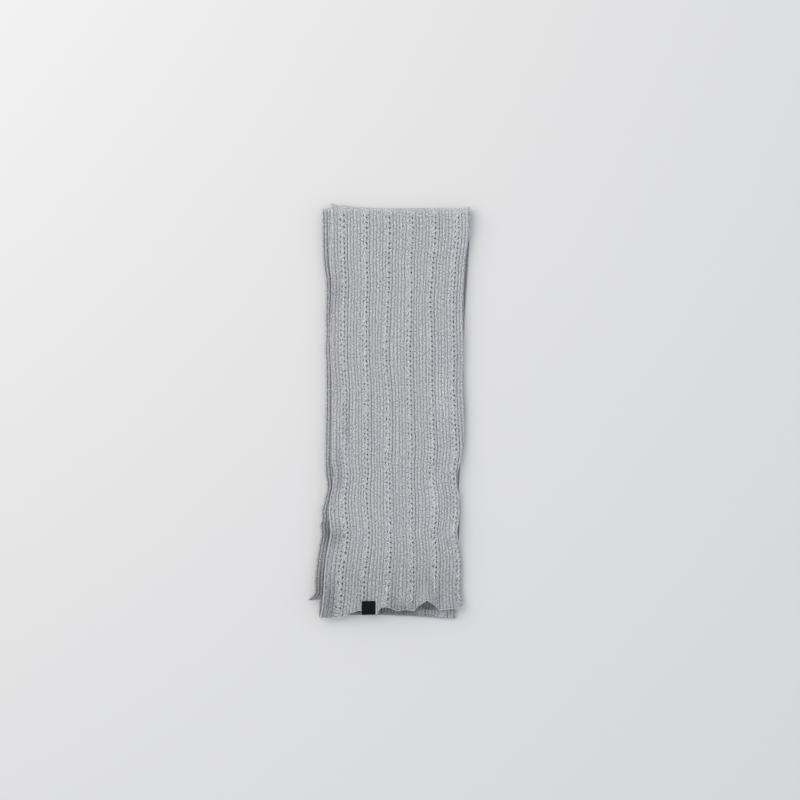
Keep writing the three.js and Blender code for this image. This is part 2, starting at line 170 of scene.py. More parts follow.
# painted shade on the base where its right edge shows in the shadow of the top stretch
basePaintedSpots = [
    (42, 88, 5, 50, 0.15),
    (42, 348, 5, 26, 0.45),
]
secondEdges = {
    "down": [0, 30, 60, 83, 118, 134, 154, 175, 211, 270, 290, 308,
             322, 334, 342, 349, 358, 372, 388, 409, 422, 428, 432],
    "left": [-73.5, -73.2, -72.2, -69.3, -70.0, -69.4, -70.3, -69.4, -69.4, -70.3, -70.0, -68.2,
             -71.2, -74.3, -73.8, -75.6, -74.5, -76.9, -79.3, -81.3, -81.5, -83.6, -88.9],
    "right": [79.2, 79.0, 78.6, 78.0, 77.0, 76.6, 76.2, 76.0, 75.6, 74.6, 73.8, 73.0,
              72.4, 71.8, 71.4, 71.0, 70.6, 70.0, 69.4, 68.6, 68.0, 67.8, 67.6],
    "leftLift": [0.6, 1.2, 1.4, 1.6, 1.2, 0.8, 0.8, 0.8, 1.0, 2.0, 3.0, 2.6,
                 1.6, 2.6, 3.8, 4.2, 3.6, 1.2, 0.8, 3.0, 3.6, 2.8, 1.5],
}
secondHem = {
    "at": 432,
    "blend": 44,
    "across": [-89, -82, -40, 30, 70],
    "down": [432.0, 431.0, 436.0, 441.4, 442.0],
}
thirdEdges = {
    "down": [0, 57, 83, 211, 300, 334, 387, 451],
    "left": [-72.8, -71.4, -68.6, -68.6, -67.4, -71.0, -75.0, -76.7],
    "right": [79.2, 78.4, 78.0, 76.0, 75.2, 75.0, 74.2, 73.2],
}
baseEdges = {
    "down": [0, 35, 48, 74, 101, 129, 167, 211, 250, 288, 310, 328, 360, 382, 426, 451],
    "left": [-63.8, -64.2, -64.4, -64.8, -65.2, -65.8, -66.4, -67.2,
             -67.6, -67.8, -69.2, -70.8, -73.4, -75.0, -76.4, -76.7],
    "right": [89.1, 88.9, 88.3, 86.5, 84.6, 83.3, 82.0, 81.6,
              80.6, 78.6, 77.4, 78.1, 77.5, 76.4, 74.3, 73.2],
}
sag = {"start": 3.0, "slope": 0.28}   # a stretch that overhangs the one below sags past its edge
liftReach = 11
rim = {"top": 1.2, "second": 1.3, "in": 1.6, "reach": 2.6, "curl": 4.0}   # how left edges curl up
roll = {"top": 1.0, "second": 0.8, "lower": 0.7, "turn": 2.6}   # how selvedges roll under: radii, radians
sway = {"by": 0.35, "wave": 2.4, "start": 0.7, "cross": 1.1, "along": 60, "fade": 4}   # uneven rib spacing

# the length of each stretch along the middle of the cloth, with the flat parts up to the folds
topFlat = topHem["at"] - folds["bend"]
secondFlat = secondHem["at"] - folds["bend"]
footRadius = (thirdZ + folds["footSwell"]["third"]) / 2
footTurn = folds["foot"] - cloth["wall"] / 2 - footRadius
baseRun = footTurn - folds["bend"]
thirdRun = baseRun + math.pi * footRadius


def bump(t):
    return np.where(np.abs(t) < 1, 0.5 + 0.5 * np.cos(np.pi * t), 0)


def bell(t):
    return np.exp(-t * t)


def ease(t):
    t = np.clip(t, 0, 1)
    return t * t * (3 - 2 * t)


def curveThrough(xs, ys, at):
    # a smooth curve through a short table, with level ends
    xs, ys, at = np.asarray(xs, float), np.asarray(ys, float), np.asarray(at, float)
    slopes = np.empty(len(xs))
    slopes[1:-1] = (ys[2:] - ys[:-2]) / (xs[2:] - xs[:-2])
    slopes[0] = (ys[1] - ys[0]) / (xs[1] - xs[0])
    slopes[-1] = (ys[-1] - ys[-2]) / (xs[-1] - xs[-2])
    i = np.clip(np.searchsorted(xs, at, side="right") - 1, 0, len(xs) - 2)
    span, rise = xs[i + 1] - xs[i], ys[i + 1] - ys[i]
    t = np.clip((at - xs[i]) / span, 0, 1)
    a, b = slopes[i] * span - rise, rise - slopes[i + 1] * span
    return ys[i] + t * rise + t * (1 - t) * (a * (1 - t) + b * t)


def swell(which, layer, distance):
    return folds[which][layer] * bell(np.maximum(0, distance) / folds[which]["reach"])


def foldPath(deep, upper, lower, arc):
    # tilt, reach along the cloth and height of the middle of the cloth, for distances round a fold
    tilt = np.linspace(0, np.pi, 400)
    half = cloth["wall"] / 2
    reach = (deep + half) * np.sin(tilt)
    height = (upper + lower) / 2 + ((upper - lower) / 2 + half) * np.cos(tilt)
    run = np.concatenate([[0], np.cumsum(np.hypot(np.diff(reach), np.diff(height)))])
    if arc is None:
        return run[-1]
    return np.interp(arc, run, tilt), np.interp(arc, run, reach), np.interp(arc, run, height)


def acrossCloth(rib, edges, down, ribTable, radius):
    # where each rib lies across the cloth, and how far it drops where the selvedge rolls under
    left = curveThrough(edges["down"], edges["left"], down)
    right = curveThrough(edges["down"], edges["right"], down)
    outer = -cloth["selvedge"]
    if ribTable is None:
        first, last = outer + 0 * down, cloth["ribs"] - outer + 0 * down
    else:
        first = curveThrough(ribTable["down"], ribTable["left"], down)
        last = curveThrough(ribTable["down"], ribTable["right"], down)
        spread = np.minimum(0, first - outer) * (1 - ease((rib - outer) / ribTable["spread"]))
        rib = rib + spread
    quarter = math.pi / 2 * radius
    pitch = (right - left) / (last - first)
    inFirst, inLast = first + quarter / pitch, last - quarter / pitch
    share = (rib - inFirst) / (inLast - inFirst)
    x = (left + radius) + share * ((right - radius) - (left + radius))
    turnLeft = np.clip((inFirst - rib) * pitch / radius, 0, roll["turn"])
    turnRight = np.clip((rib - inLast) * pitch / radius, 0, roll["turn"])
    x = np.where(turnLeft > 0, left + radius * (1 - np.sin(turnLeft)), x)
    x = np.where(turnRight > 0, right - radius * (1 - np.sin(turnRight)), x)
    drop = radius * (1 - np.cos(turnLeft)) + radius * (1 - np.cos(turnRight))
    return x, drop, left, right


def placed(x, y, z):
    # from the scarf's own millimetres to the frame's metres
    return np.stack(np.broadcast_arrays(x + cloth["middleX"], y + cloth["middleY"], z), axis=-1) * mm


def headEdge(onFold, down, tilt):
    # 1 where a stretch follows the line of its head fold, and 0 where it is clear of it
    return np.where(onFold, np.where(tilt < np.pi / 2, 1, np.sin(tilt)),
                    ease(1 - (down - folds["bend"]) / folds["lineReach"]))


def swollen(layer, down):
    # how far the folds at both ends hold a stretch up
    head = swell("headSwell", layer, down - folds["bend"])
    return head + swell("footSwell", layer, folds["footSwell"]["at"] - down)


def onStretch(x, z, down, drop, hem, line, edge, onFold, tilt, reach, foldHeight):
    # lays a place on the flat part of a stretch, between its hem and its head fold, or round the fold
    hemShift = curveThrough(hem["across"], hem["down"], x) - hem["at"]
    hemPull = ease((down - hem["at"] + hem["blend"]) / hem["blend"])
    shift = hemShift * hemPull - edge * curveThrough(line["across"], line["beyond"], x)
    y = cloth["headY"] - down - shift
    flatZ = z + cloth["wall"] / 2 - drop
    foldZ = foldHeight - drop * np.cos(tilt)
    return placed(x, np.where(onFold, y + reach, y), np.where(onFold, foldZ, flatZ))


def topPlace(rib, along):
    # the top stretch: along 0 is the free hem, and the outer head fold comes last
    onFold = along > topFlat
    tilt, reach, foldHeight = foldPath(*outerFold, np.maximum(0, along - topFlat))
    down = np.maximum(folds["bend"], topHem["at"] - along)
    x, drop, left, right = acrossCloth(rib, topEdges, down, topRibs, roll["top"])
    inner = ease(rib / sway["fade"]) * ease((cloth["ribs"] - rib) / sway["fade"])
    swing = np.sin(sway["wave"] * rib + sway["start"]) * np.sin(sway["cross"] * rib + down / sway["along"])
    x = x + sway["by"] * swing * inner
    for atRib, downAt, wide, long, move in topDrifts:
        x = x + move * bump((rib - atRib) / wide) * bump((down - downAt) / long)
    edge = headEdge(onFold, down, tilt)
    nearHem = bump((topHem["at"] - down) / topHem["reach"])
    z = topZ + swollen("top", down)
    z = z + curveThrough(topEdges["down"], topEdges["leftLift"], down) * bell((x - left) / liftReach)
    z = z + curveThrough(topEdges["down"], topEdges["rightLift"], down) * bell((right - x) / liftReach)
    past = x - curveThrough(secondEdges["down"], secondEdges["right"], down) - sag["start"]
    z = z - sag["slope"] * np.maximum(0, past) * (1 - edge)
    for at, wide, lift in topHem["waves"]:
        z = z + lift * bump((x - at) / wide) * nearHem
    z = z + rim["top"] * bell((x - left - rim["in"]) / rim["reach"])
    for acrossAt, downAt, wide, long, rise in topCreases:
        z = z + rise * bell((x - acrossAt) / wide) * bump((down - downAt) / long)
    return onStretch(x, z, down, drop, topHem, headLine, edge, onFold, tilt, reach, foldHeight)


def secondPlace(rib, along):
    # the second stretch: along 0 is the other free hem, and the inner head fold comes last
    onFold = along > secondFlat
    tilt, reach, foldHeight = foldPath(*innerFold, np.maximum(0, along - secondFlat))
    down = np.maximum(folds["bend"], secondHem["at"] - along)
    x, drop, left, _ = acrossCloth(rib, secondEdges, down, None, roll["second"])
    z = secondZ + swollen("second", down)
    past = curveThrough(thirdEdges["down"], thirdEdges["left"], down) - sag["start"] - x
    z = z - sag["slope"] * np.maximum(0, past)
    lift = curveThrough(secondEdges["down"], secondEdges["leftLift"], down)
    z = z + lift * bell((x - left) / rim["curl"])
    z = z + rim["second"] * bell((x - left - rim["in"]) / rim["reach"])
    edge = headEdge(onFold, down, tilt)
    return onStretch(x, z, down, drop, secondHem, innerHeadLine, edge, onFold, tilt, reach, foldHeight)


def lowerPlace(rib, along):
    # the third stretch from the inner head fold, round the foot fold, and back as the base
    half = cloth["wall"] / 2
    angle = np.clip((along - baseRun) / footRadius, 0, math.pi)
    onThird = along < baseRun
    onBase = along > thirdRun
    down = np.where(onThird, folds["bend"] + along, footTurn + footRadius * np.sin(angle))
    down = np.where(onBase, footTurn - (along - thirdRun), down)
    xThird, drop, _, _ = acrossCloth(rib, thirdEdges, down, None, roll["lower"])
    xBase, _, _, _ = acrossCloth(rib, baseEdges, down, None, roll["lower"])
    share = ease(angle / math.pi)
    x = xThird * (1 - share) + xBase * share
    line = curveThrough(footLine["across"], footLine["down"], x) - folds["foot"]
    shift = line * ease((down - folds["foot"] + folds["footReach"]) / folds["footReach"])
    third = thirdZ + swell("footSwell", "third", folds["footSwell"]["at"] - down) + half - drop
    z = np.where(onThird, third, footRadius + half + footRadius * np.cos(angle) - drop * np.cos(angle))
    z = np.where(onBase, half + drop, z)
    return placed(x, cloth["headY"] - down - shift, z)


knit = {
    "repeat": 5.4,         # one eyelet and the four courses that belong to it
    "eyelet": 1.35,        # the part of the repeat that the hole takes
    "stagger": 1.3,        # the right column of eyelets sits lower than the left
    "staggerFade": 8,      # but not at the very ends of a stretch
    "endMargin": 0.6,      # between a stretch's end and the row next to it
    "ribRise": 0.3,
    "ribRoundness": 9.0,
    "ribWander": 0.2,      # sideways
    "loftWander": 0.12,    # up and down, in streaks along the ribs
    "stitchWander": 0.4,   # up and down, from stitch to stitch
    "laceFill": 0.8,       # how far the valleys of the stripes are bridged between their eyelets
    "eyeletPull": 0.35,
    "zigzag": 0.45,
    "closedLeft": 0.32,    # shares of eyelets that are pulled shut
    "closedRight": 0.1,
    "stripeEvery": 7,
    "firstStripe": 3,
    "firstEyelet": 9.5,    # from the start of a stretch
    "plainHem": 7,         # no eyelet is nearer than this to a hem
    "plainEnd": 3,         # or to a fold of the lower stretches
    "seamIn": 0.35,        # the line of edge stitches, in rib pitches beyond the outer ribs
}
# How the knit's unevenness repeats: waves to a rib across it, waves to a metre along it, and finer detail
uneven = {
    "streak": (1.0, 90.0, 1.0),
    "stitch": (2.6, 520.0, 0.0),
    "sway": (0.8, 104.0, 1.0),
    "swayLayer": 3.2,
}


def ribColumns(fine):
    # places across the cloth, in ribs: four to a rib where the knit shows, two where it is hidden
    columns = [-cloth["selvedge"], -knit["seamIn"]]
    for rib in range(cloth["ribs"]):
        columns += [rib + step for step in ((0, 0.17, 0.5, 0.83) if fine(rib) else (0, 0.5))]
    columns += [cloth["ribs"], cloth["ribs"] + knit["seamIn"], cloth["ribs"] + cloth["selvedge"]]
    return np.array(columns, float)


def knitRows(length, start):
    # distances along the cloth, and the course number in repeats: three rows to a repeat
    hole, rest = knit["eyelet"], (knit["repeat"] - knit["eyelet"]) / 2
    along, course = [], []
    repeats = int((length - start) // knit["repeat"]) + 1
    for k in range(-3, repeats + 1):
        for step, distance in enumerate((0, hole, hole + rest)):
            at = start + k * knit["repeat"] + distance
            if knit["endMargin"] < at < length - knit["endMargin"]:
                along.append(at)
                course.append(k + step / 3)
    along = [0] + along + [length]
    course = [course[0] - 1 / 3] + course + [course[-1] + 1 / 3]
    return np.array(along), np.array(course)


def eyeletStagger(rib):
    # rows step down between a stripe's two columns of eyelets, and come back up beyond them
    t = (rib - knit["firstStripe"]) % knit["stripeEvery"]
    return knit["stagger"] * ease((t - 0.25) / 0.5) * (1 - ease((t - 1.25) / 0.9)) * (t < 3)


def gridMesh(name, points, quads, flat, numbers, downCloth):
    # a plain grid with the numbers that the trees read, and the cloth's own coordinates as its UV map
    mesh = bpy.data.meshes.new(name)
    mesh.from_pydata(points.reshape(-1, 3).tolist(), [], quads.tolist())
    for attribute, values in numbers.items():
        made = mesh.attributes.new(attribute, "FLOAT", "POINT")
        made.data.foreach_set("value", np.ascontiguousarray(values, np.float32).ravel())
    made = mesh.attributes.new("downCloth", "FLOAT_VECTOR", "POINT")
    made.data.foreach_set("vector", np.ascontiguousarray(downCloth, np.float32).ravel())
    layer = mesh.uv_layers.new(name="clothFlat")
    corners = np.empty(len(mesh.loops), np.int32)
    mesh.loops.foreach_get("vertex_index", corners)
    layer.data.foreach_set("uv", np.ascontiguousarray(flat.reshape(-1, 2)[corners], np.float32).ravel())
    piece = bpy.data.objects.new(name, mesh)
    bpy.context.scene.collection.objects.link(piece)
    return piece


def gridQuads(rows, count):
    index = np.arange(rows * count).reshape(rows, count)
    corners = [index[:-1, :-1], index[:-1, 1:], index[1:, 1:], index[1:, :-1]]
    return np.stack(corners, axis=-1).reshape(-1, 4)


def knitGrid(name, place, length, fine, openAlong, faceUp=1, loft=None, strands=None, lastRow=None,
             onStrip=(0, 1), paintedShading=None):
    # onStrip: where the stretch starts along the whole uncut strip, and which way it runs
    along, course = knitRows(length, knit["firstEyelet"])
    along, course = along[:lastRow], course[:lastRow]
    columns = ribColumns(fine)
    rib, run = columns[None, :] + 0 * along[:, None], along[:, None] + 0 * columns[None, :]
    course = course[:, None] + 0 * rib
    inside = ease(run / knit["staggerFade"]) * ease((length - run) / knit["staggerFade"])
    run = run - faceUp * eyeletStagger(rib) * inside
    points = place(rib, run)
    downCloth = place(rib, np.maximum(0, run - 0.5)) - place(rib, np.minimum(length, run + 0.5))
    downCloth /= np.maximum(1e-9, np.linalg.norm(downCloth, axis=-1, keepdims=True))
    quads = gridQuads(*rib.shape)
    if faceUp < 0:
        quads = quads[:, ::-1]
    fineHere = np.array([fine(r) for r in columns])[None, :]
    openHere = (run > openAlong[0]) & (run < openAlong[1]) & fineHere
    strand, lean = strands(rib, course, run, openHere) if strands else (0 * rib, 0 * rib)
    lofty = loft(rib, run) if loft else 1 + 0 * rib
    # painted light and shade, which the yarn material multiplies into its colour
    paintedShadingHere = paintedShading(rib, run) if paintedShading else 1 + 0 * rib
    flat = np.stack([rib * cloth["ribPitch"] * mm, (onStrip[0] + onStrip[1] * run) * mm], axis=-1)
    return gridMesh(name, points, quads, flat, {
        "rib": rib, "along": run * mm, "course": course, "openwork": openHere, "loft": lofty,
        "paintedShading": paintedShadingHere, "strand": strand, "lean": lean}, downCloth)


def addNode(tree, kind, links=None, output=0, **settings):
    # adds one node, sets it up, links or fills its inputs, and gives back one of its outputs
    made = tree.nodes.new(kind)
    for key, value in settings.items():
        setattr(made, key, value)
    for key, value in (links or {}).items():
        if isinstance(value, bpy.types.NodeSocket):
            tree.links.new(value, made.inputs[key])
        else:
            made.inputs[key].default_value = value
    return made.outputs[output] if made.outputs else made


def newTree(name, numbers):
    # a tree with a cloth to work on, named sizes, a seed and a material
    tree = bpy.data.node_groups.new(name, "GeometryNodeTree")
    tree.interface.new_socket("Cloth", in_out="INPUT", socket_type="NodeSocketGeometry")
    for number in numbers:
        tree.interface.new_socket(number, in_out="INPUT", socket_type="NodeSocketFloat")
    tree.interface.new_socket("Seed", in_out="INPUT", socket_type="NodeSocketInt")
    tree.interface.new_socket("Yarn", in_out="INPUT", socket_type="NodeSocketMaterial")
    tree.interface.new_socket("Knit", in_out="OUTPUT", socket_type="NodeSocketGeometry")
    return tree, addNode(tree, "NodeGroupInput").node.outputs


def clothNumbers(tree, *names):
    return [addNode(tree, "GeometryNodeInputNamedAttribute", {"Name": name},
                    data_type="FLOAT_VECTOR" if name == "downCloth" else "FLOAT") for name in names]


def acrossStripe(tree, rib, first, every):
    # 0 and 1 are a stripe's two valleys of eyelets, with the zigzag rib between them; also the distance
    # from its middle, and the same number before it starts again at each stripe
    fromFirst = addNode(tree, "ShaderNodeMath", {0: rib, 1: first}, operation="SUBTRACT")
    counted = addNode(tree, "ShaderNodeMath", {0: fromFirst, 1: 0.5}, operation="ADD")
    stripe = addNode(tree, "ShaderNodeMath", {0: counted, 1: every}, operation="FLOORED_MODULO")
    fromMiddle = addNode(tree, "ShaderNodeMath", {0: stripe, 1: -1.0}, operation="ADD")
    return stripe, addNode(tree, "ShaderNodeMath", {0: fromMiddle}, operation="ABSOLUTE"), counted


def valleyShape(tree, rib, sharpness):
    # 1 in the valleys, at whole rib numbers, and 0 on the round ridges between them
    angle = addNode(tree, "ShaderNodeMath", {0: rib, 1: math.pi}, operation="MULTIPLY")
    wave = addNode(tree, "ShaderNodeMath", {0: angle}, operation="COSINE")
    folded = addNode(tree, "ShaderNodeMath", {0: wave}, operation="ABSOLUTE")
    return addNode(tree, "ShaderNodeMath", {0: folded, 1: sharpness}, operation="POWER")


def strayed(tree, rib, along, layer, repeats, reach, value):
    # a number with noise added, up to reach, in its own repeats across and along the cloth
    perRib, perMetre, detail = repeats
    across = addNode(tree, "ShaderNodeMath", {0: rib, 1: perRib}, operation="MULTIPLY")
    onward = addNode(tree, "ShaderNodeMath", {0: along, 1: perMetre}, operation="MULTIPLY")
    place = addNode(tree, "ShaderNodeCombineXYZ", {0: across, 1: onward, 2: layer})
    noise = addNode(tree, "ShaderNodeTexNoise", {"Vector": place, "Scale": 1.0, "Detail": detail})
    fromEven = addNode(tree, "ShaderNodeMath", {0: noise, 1: 0.5}, operation="SUBTRACT")
    return addNode(tree, "ShaderNodeMath", {0: fromEven, 1: reach, 2: value}, operation="MULTIPLY_ADD")


def finishTree(tree, geometry, yarn):
    whole = addNode(tree, "GeometryNodeRealizeInstances", {"Geometry": geometry})
    yarned = addNode(tree, "GeometryNodeSetMaterial", {"Geometry": whole, "Material": yarn})
    addNode(tree, "NodeGroupOutput", {"Knit": yarned})
    return tree


def ribKnitTree():
    # raises the ribs, opens the eyelets beside every seventh rib, and lets stitches and loft wander
    tree, given = newTree("ribKnit", (
        "Rib Rise", "Rib Roundness", "Rib Wander", "Loft Wander", "Stitch Wander", "Stripe Every",
        "First Stripe", "Lace Fill", "Eyelet Pull", "Zigzag", "Closed Left", "Closed Right"))
    rib, along, course, openwork, loft, downCloth = clothNumbers(
        tree, "rib", "along", "course", "openwork", "loft", "downCloth")
    normal = addNode(tree, "GeometryNodeInputNormal")

    # round ridges and narrow valleys, and the valleys of the stripes are bridged between their eyelets
    stripe, nearMiddle, counted = acrossStripe(tree, rib, given["First Stripe"], given["Stripe Every"])
    narrow = valleyShape(tree, rib, given["Rib Roundness"])
    onLace = addNode(tree, "ShaderNodeMapRange", {"Value": nearMiddle, "From Min": 0.85, "From Max": 0.6})
    bridged = addNode(tree, "ShaderNodeMath", {0: onLace, 1: given["Lace Fill"]}, operation="MULTIPLY")
    deep = addNode(tree, "ShaderNodeMath", {0: 1.0, 1: bridged}, operation="SUBTRACT")
    valley = addNode(tree, "ShaderNodeMath", {0: narrow, 1: deep}, operation="MULTIPLY")
    ridge = addNode(tree, "ShaderNodeMath", {0: valley, 1: -2.0, 2: 1.0}, operation="MULTIPLY_ADD")
    full = addNode(tree, "ShaderNodeMath", {0: ridge, 1: given["Rib Rise"]}, operation="MULTIPLY")
    raised = addNode(tree, "ShaderNodeMath", {0: full, 1: loft}, operation="MULTIPLY")
    onZigzag = addNode(tree, "ShaderNodeMapRange", {
        "Value": nearMiddle, "From Min": 0.65, "From Max": 0.25})
    turn = addNode(tree, "ShaderNodeMath", {0: course, 1: 2 * math.pi}, operation="MULTIPLY")
    lean = addNode(tree, "ShaderNodeMath", {0: turn}, operation="SINE")
    leanHere = addNode(tree, "ShaderNodeMath", {0: lean, 1: onZigzag}, operation="MULTIPLY")
    zigzag = addNode(tree, "ShaderNodeMath", {0: leanHere, 1: given["Zigzag"]}, operation="MULTIPLY")

    # streaks of fuller and flatter knit along each rib, and uneven stitches within them
    seed = addNode(tree, "ShaderNodeMath", {0: given["Seed"], 1: 7.3}, operation="MULTIPLY")
    streakHigh = strayed(tree, rib, along, seed, uneven["streak"], given["Loft Wander"], raised)
    stitchHigh = strayed(tree, rib, along, seed, uneven["stitch"], given["Stitch Wander"], streakHigh)
    lift = addNode(tree, "ShaderNodeVectorMath", {0: normal, "Scale": stitchHigh}, operation="SCALE")

    # the ribs wander sideways too, and the zigzag rib swings from eyelet to eyelet
    aside = addNode(tree, "ShaderNodeVectorMath", {0: downCloth, 1: normal}, operation="CROSS_PRODUCT")
    wanderBy = strayed(tree, rib, along, uneven["swayLayer"], uneven["sway"], given["Rib Wander"], zigzag)
    sideways = addNode(tree, "ShaderNodeVectorMath", {0: aside, "Scale": wanderBy}, operation="SCALE")
    moved = addNode(tree, "ShaderNodeVectorMath", {0: lift, 1: sideways}, operation="ADD")
    ribbed = addNode(tree, "GeometryNodeSetPosition", {"Geometry": given["Cloth"], "Offset": moved})

    # Each eyelet has its own luck: how far it is pulled open, or that it stays closed. A repeat has three
    # rows, so part is 0.05, 0.38 or 0.72, and the hole lies between the first two.
    courseShare = addNode(tree, "ShaderNodeMath", {0: course, 1: 0.05}, operation="ADD")
    part = addNode(tree, "ShaderNodeMath", {0: courseShare}, operation="FRACT")
    repeatNumber = addNode(tree, "ShaderNodeMath", {0: courseShare}, operation="FLOOR")
    valleyNumber = addNode(tree, "ShaderNodeMath", {0: counted}, operation="FLOOR")
    eyeletNumber = addNode(tree, "ShaderNodeMath", {0: repeatNumber, 1: 97.0, 2: valleyNumber},
                           operation="MULTIPLY_ADD")
    luck = addNode(tree, "FunctionNodeRandomValue", {"ID": eyeletNumber, "Seed": given["Seed"]}, output=1,
                   data_type="FLOAT")

    # the row before an eyelet and the row after it bow away from it, so the hole is round
    before = addNode(tree, "ShaderNodeMath", {0: part, 1: 0.2}, operation="LESS_THAN")
    early = addNode(tree, "ShaderNodeMath", {0: part, 1: 0.5}, operation="LESS_THAN")
    pullWay = addNode(tree, "ShaderNodeMath", {0: before, 1: 2.0}, operation="MULTIPLY")
    pullSign = addNode(tree, "ShaderNodeMath", {0: pullWay, 1: early}, operation="SUBTRACT")
    inStripe = addNode(tree, "ShaderNodeMath", {0: stripe, 1: 2.0}, operation="LESS_THAN")
    stripePart = addNode(tree, "ShaderNodeMath", {0: stripe}, operation="FRACT")
    fromValley = addNode(tree, "ShaderNodeMath", {0: stripePart, 1: 0.5}, operation="SUBTRACT")
    valleyGap = addNode(tree, "ShaderNodeMath", {0: fromValley}, operation="ABSOLUTE")
    inValley = addNode(tree, "ShaderNodeMath", {0: valleyGap, 1: 0.05}, operation="LESS_THAN")
    pulled = addNode(tree, "ShaderNodeMath", {0: inStripe, 1: inValley}, operation="MULTIPLY")
    pulledOpen = addNode(tree, "ShaderNodeMath", {0: pulled, 1: openwork}, operation="MULTIPLY")
    pullLuck = addNode(tree, "ShaderNodeMath", {0: pulledOpen, 1: luck}, operation="MULTIPLY")
    pullBy = addNode(tree, "ShaderNodeMath", {0: pullSign, 1: given["Eyelet Pull"]}, operation="MULTIPLY")
    pullHere = addNode(tree, "ShaderNodeMath", {0: pullBy, 1: pullLuck}, operation="MULTIPLY")
    bow = addNode(tree, "ShaderNodeVectorMath", {0: downCloth, "Scale": pullHere}, operation="SCALE")
    bowed = addNode(tree, "GeometryNodeSetPosition", {"Geometry": ribbed, "Offset": bow})

    # the eyelets themselves: two faces each
    holeRow = addNode(tree, "ShaderNodeMath", {0: part, 1: 0.3}, operation="LESS_THAN")
    holeSide = addNode(tree, "ShaderNodeMath", {0: valleyGap, 1: 0.2}, operation="LESS_THAN")
    openRow = addNode(tree, "ShaderNodeMath", {0: openwork, 1: 0.9}, operation="GREATER_THAN")
    holeHere = addNode(tree, "ShaderNodeMath", {0: holeRow, 1: holeSide}, operation="MULTIPLY")
    holeOpen = addNode(tree, "ShaderNodeMath", {0: inStripe, 1: openRow}, operation="MULTIPLY")
    hole = addNode(tree, "ShaderNodeMath", {0: holeHere, 1: holeOpen}, operation="MULTIPLY")
    onRight = addNode(tree, "ShaderNodeMath", {0: stripe}, operation="FLOOR")
    closedMore = addNode(tree, "ShaderNodeMath", {0: given["Closed Right"], 1: given["Closed Left"]},
                         operation="SUBTRACT")
    closed = addNode(tree, "ShaderNodeMath", {0: onRight, 1: closedMore, 2: given["Closed Left"]},
                     operation="MULTIPLY_ADD")
    staysOpen = addNode(tree, "ShaderNodeMath", {0: luck, 1: closed}, operation="GREATER_THAN")
    cut = addNode(tree, "ShaderNodeMath", {0: hole, 1: staysOpen}, operation="MULTIPLY")
    opened = addNode(tree, "GeometryNodeDeleteGeometry", {"Geometry": bowed, "Selection": cut},
                     domain="FACE")
    smooth = addNode(tree, "GeometryNodeSetShadeSmooth", {"Geometry": opened})
    return finishTree(tree, smooth, given["Yarn"])


strandFaces = {"bends": 5, "sides": 5}   # as there are thousands of strands, each has few faces


def strandTree():
    # an arched strand of yarn on each chosen point, turned from the line of the ribs by the point's lean
    tree, given = newTree("strands", ("Length", "Thickness", "Arch", "Above", "Uneven"))
    strand, lean, downCloth = clothNumbers(tree, "strand", "lean", "downCloth")
    normal = addNode(tree, "GeometryNodeInputNormal")
    number = addNode(tree, "GeometryNodeInputIndex")
    luck = addNode(tree, "FunctionNodeRandomValue", {"ID": number, "Seed": given["Seed"]}, output=1,
                   data_type="FLOAT")
    chosen = addNode(tree, "ShaderNodeMath", {0: strand, 1: 0.5}, operation="GREATER_THAN")

    half = addNode(tree, "ShaderNodeMath", {0: given["Length"], 1: 0.5}, operation="MULTIPLY")
    back = addNode(tree, "ShaderNodeMath", {0: half, 1: -1.0}, operation="MULTIPLY")
    crown = addNode(tree, "ShaderNodeMath", {0: given["Arch"], 1: 2.0}, operation="MULTIPLY")
    first = addNode(tree, "ShaderNodeCombineXYZ", {1: back})
    middle = addNode(tree, "ShaderNodeCombineXYZ", {2: crown})
    last = addNode(tree, "ShaderNodeCombineXYZ", {1: half})
    path = addNode(tree, "GeometryNodeCurveQuadraticBezier", {
        "Resolution": strandFaces["bends"], "Start": first, "Middle": middle, "End": last})
    ring = addNode(tree, "GeometryNodeCurvePrimitiveCircle", {
        "Resolution": strandFaces["sides"], "Radius": given["Thickness"]})
    tube = addNode(tree, "GeometryNodeCurveToMesh", {
        "Curve": path, "Profile Curve": ring, "Fill Caps": True})
    yarnEnd = addNode(tree, "GeometryNodeSetShadeSmooth", {"Geometry": tube})

    square = addNode(tree, "FunctionNodeAxesToRotation", {0: normal, 1: downCloth},
                     primary_axis="Z", secondary_axis="Y")
    fromEven = addNode(tree, "ShaderNodeMath", {0: luck, 1: 0.5}, operation="SUBTRACT")
    spread = addNode(tree, "ShaderNodeMath", {0: fromEven, 1: given["Uneven"], 2: 1.0},
                     operation="MULTIPLY_ADD")
    leanOwn = addNode(tree, "ShaderNodeMath", {0: lean, 1: spread}, operation="MULTIPLY")
    leanTurn = addNode(tree, "FunctionNodeAxisAngleToRotation", {0: (0, 0, 1), 1: leanOwn})
    leaned = addNode(tree, "FunctionNodeRotateRotation", {0: square, 1: leanTurn}, rotation_space="LOCAL")
    size = addNode(tree, "ShaderNodeCombineXYZ", {0: spread, 1: spread, 2: spread})
    aboveBy = addNode(tree, "ShaderNodeVectorMath", {0: normal, "Scale": given["Above"]},
                      operation="SCALE")
    raised = addNode(tree, "GeometryNodeSetPosition", {"Geometry": given["Cloth"], "Offset": aboveBy})
    strands = addNode(tree, "GeometryNodeInstanceOnPoints", {
        "Points": raised, "Selection": chosen, "Instance": yarnEnd, "Rotation": leaned, "Scale": size})
    return finishTree(tree, strands, given["Yarn"])


def setInputs(modifier, tree, values):
    for item in tree.interface.items_tree:
        if item.in_out == "INPUT" and item.name in values:
            modifier[item.identifier] = values[item.name]


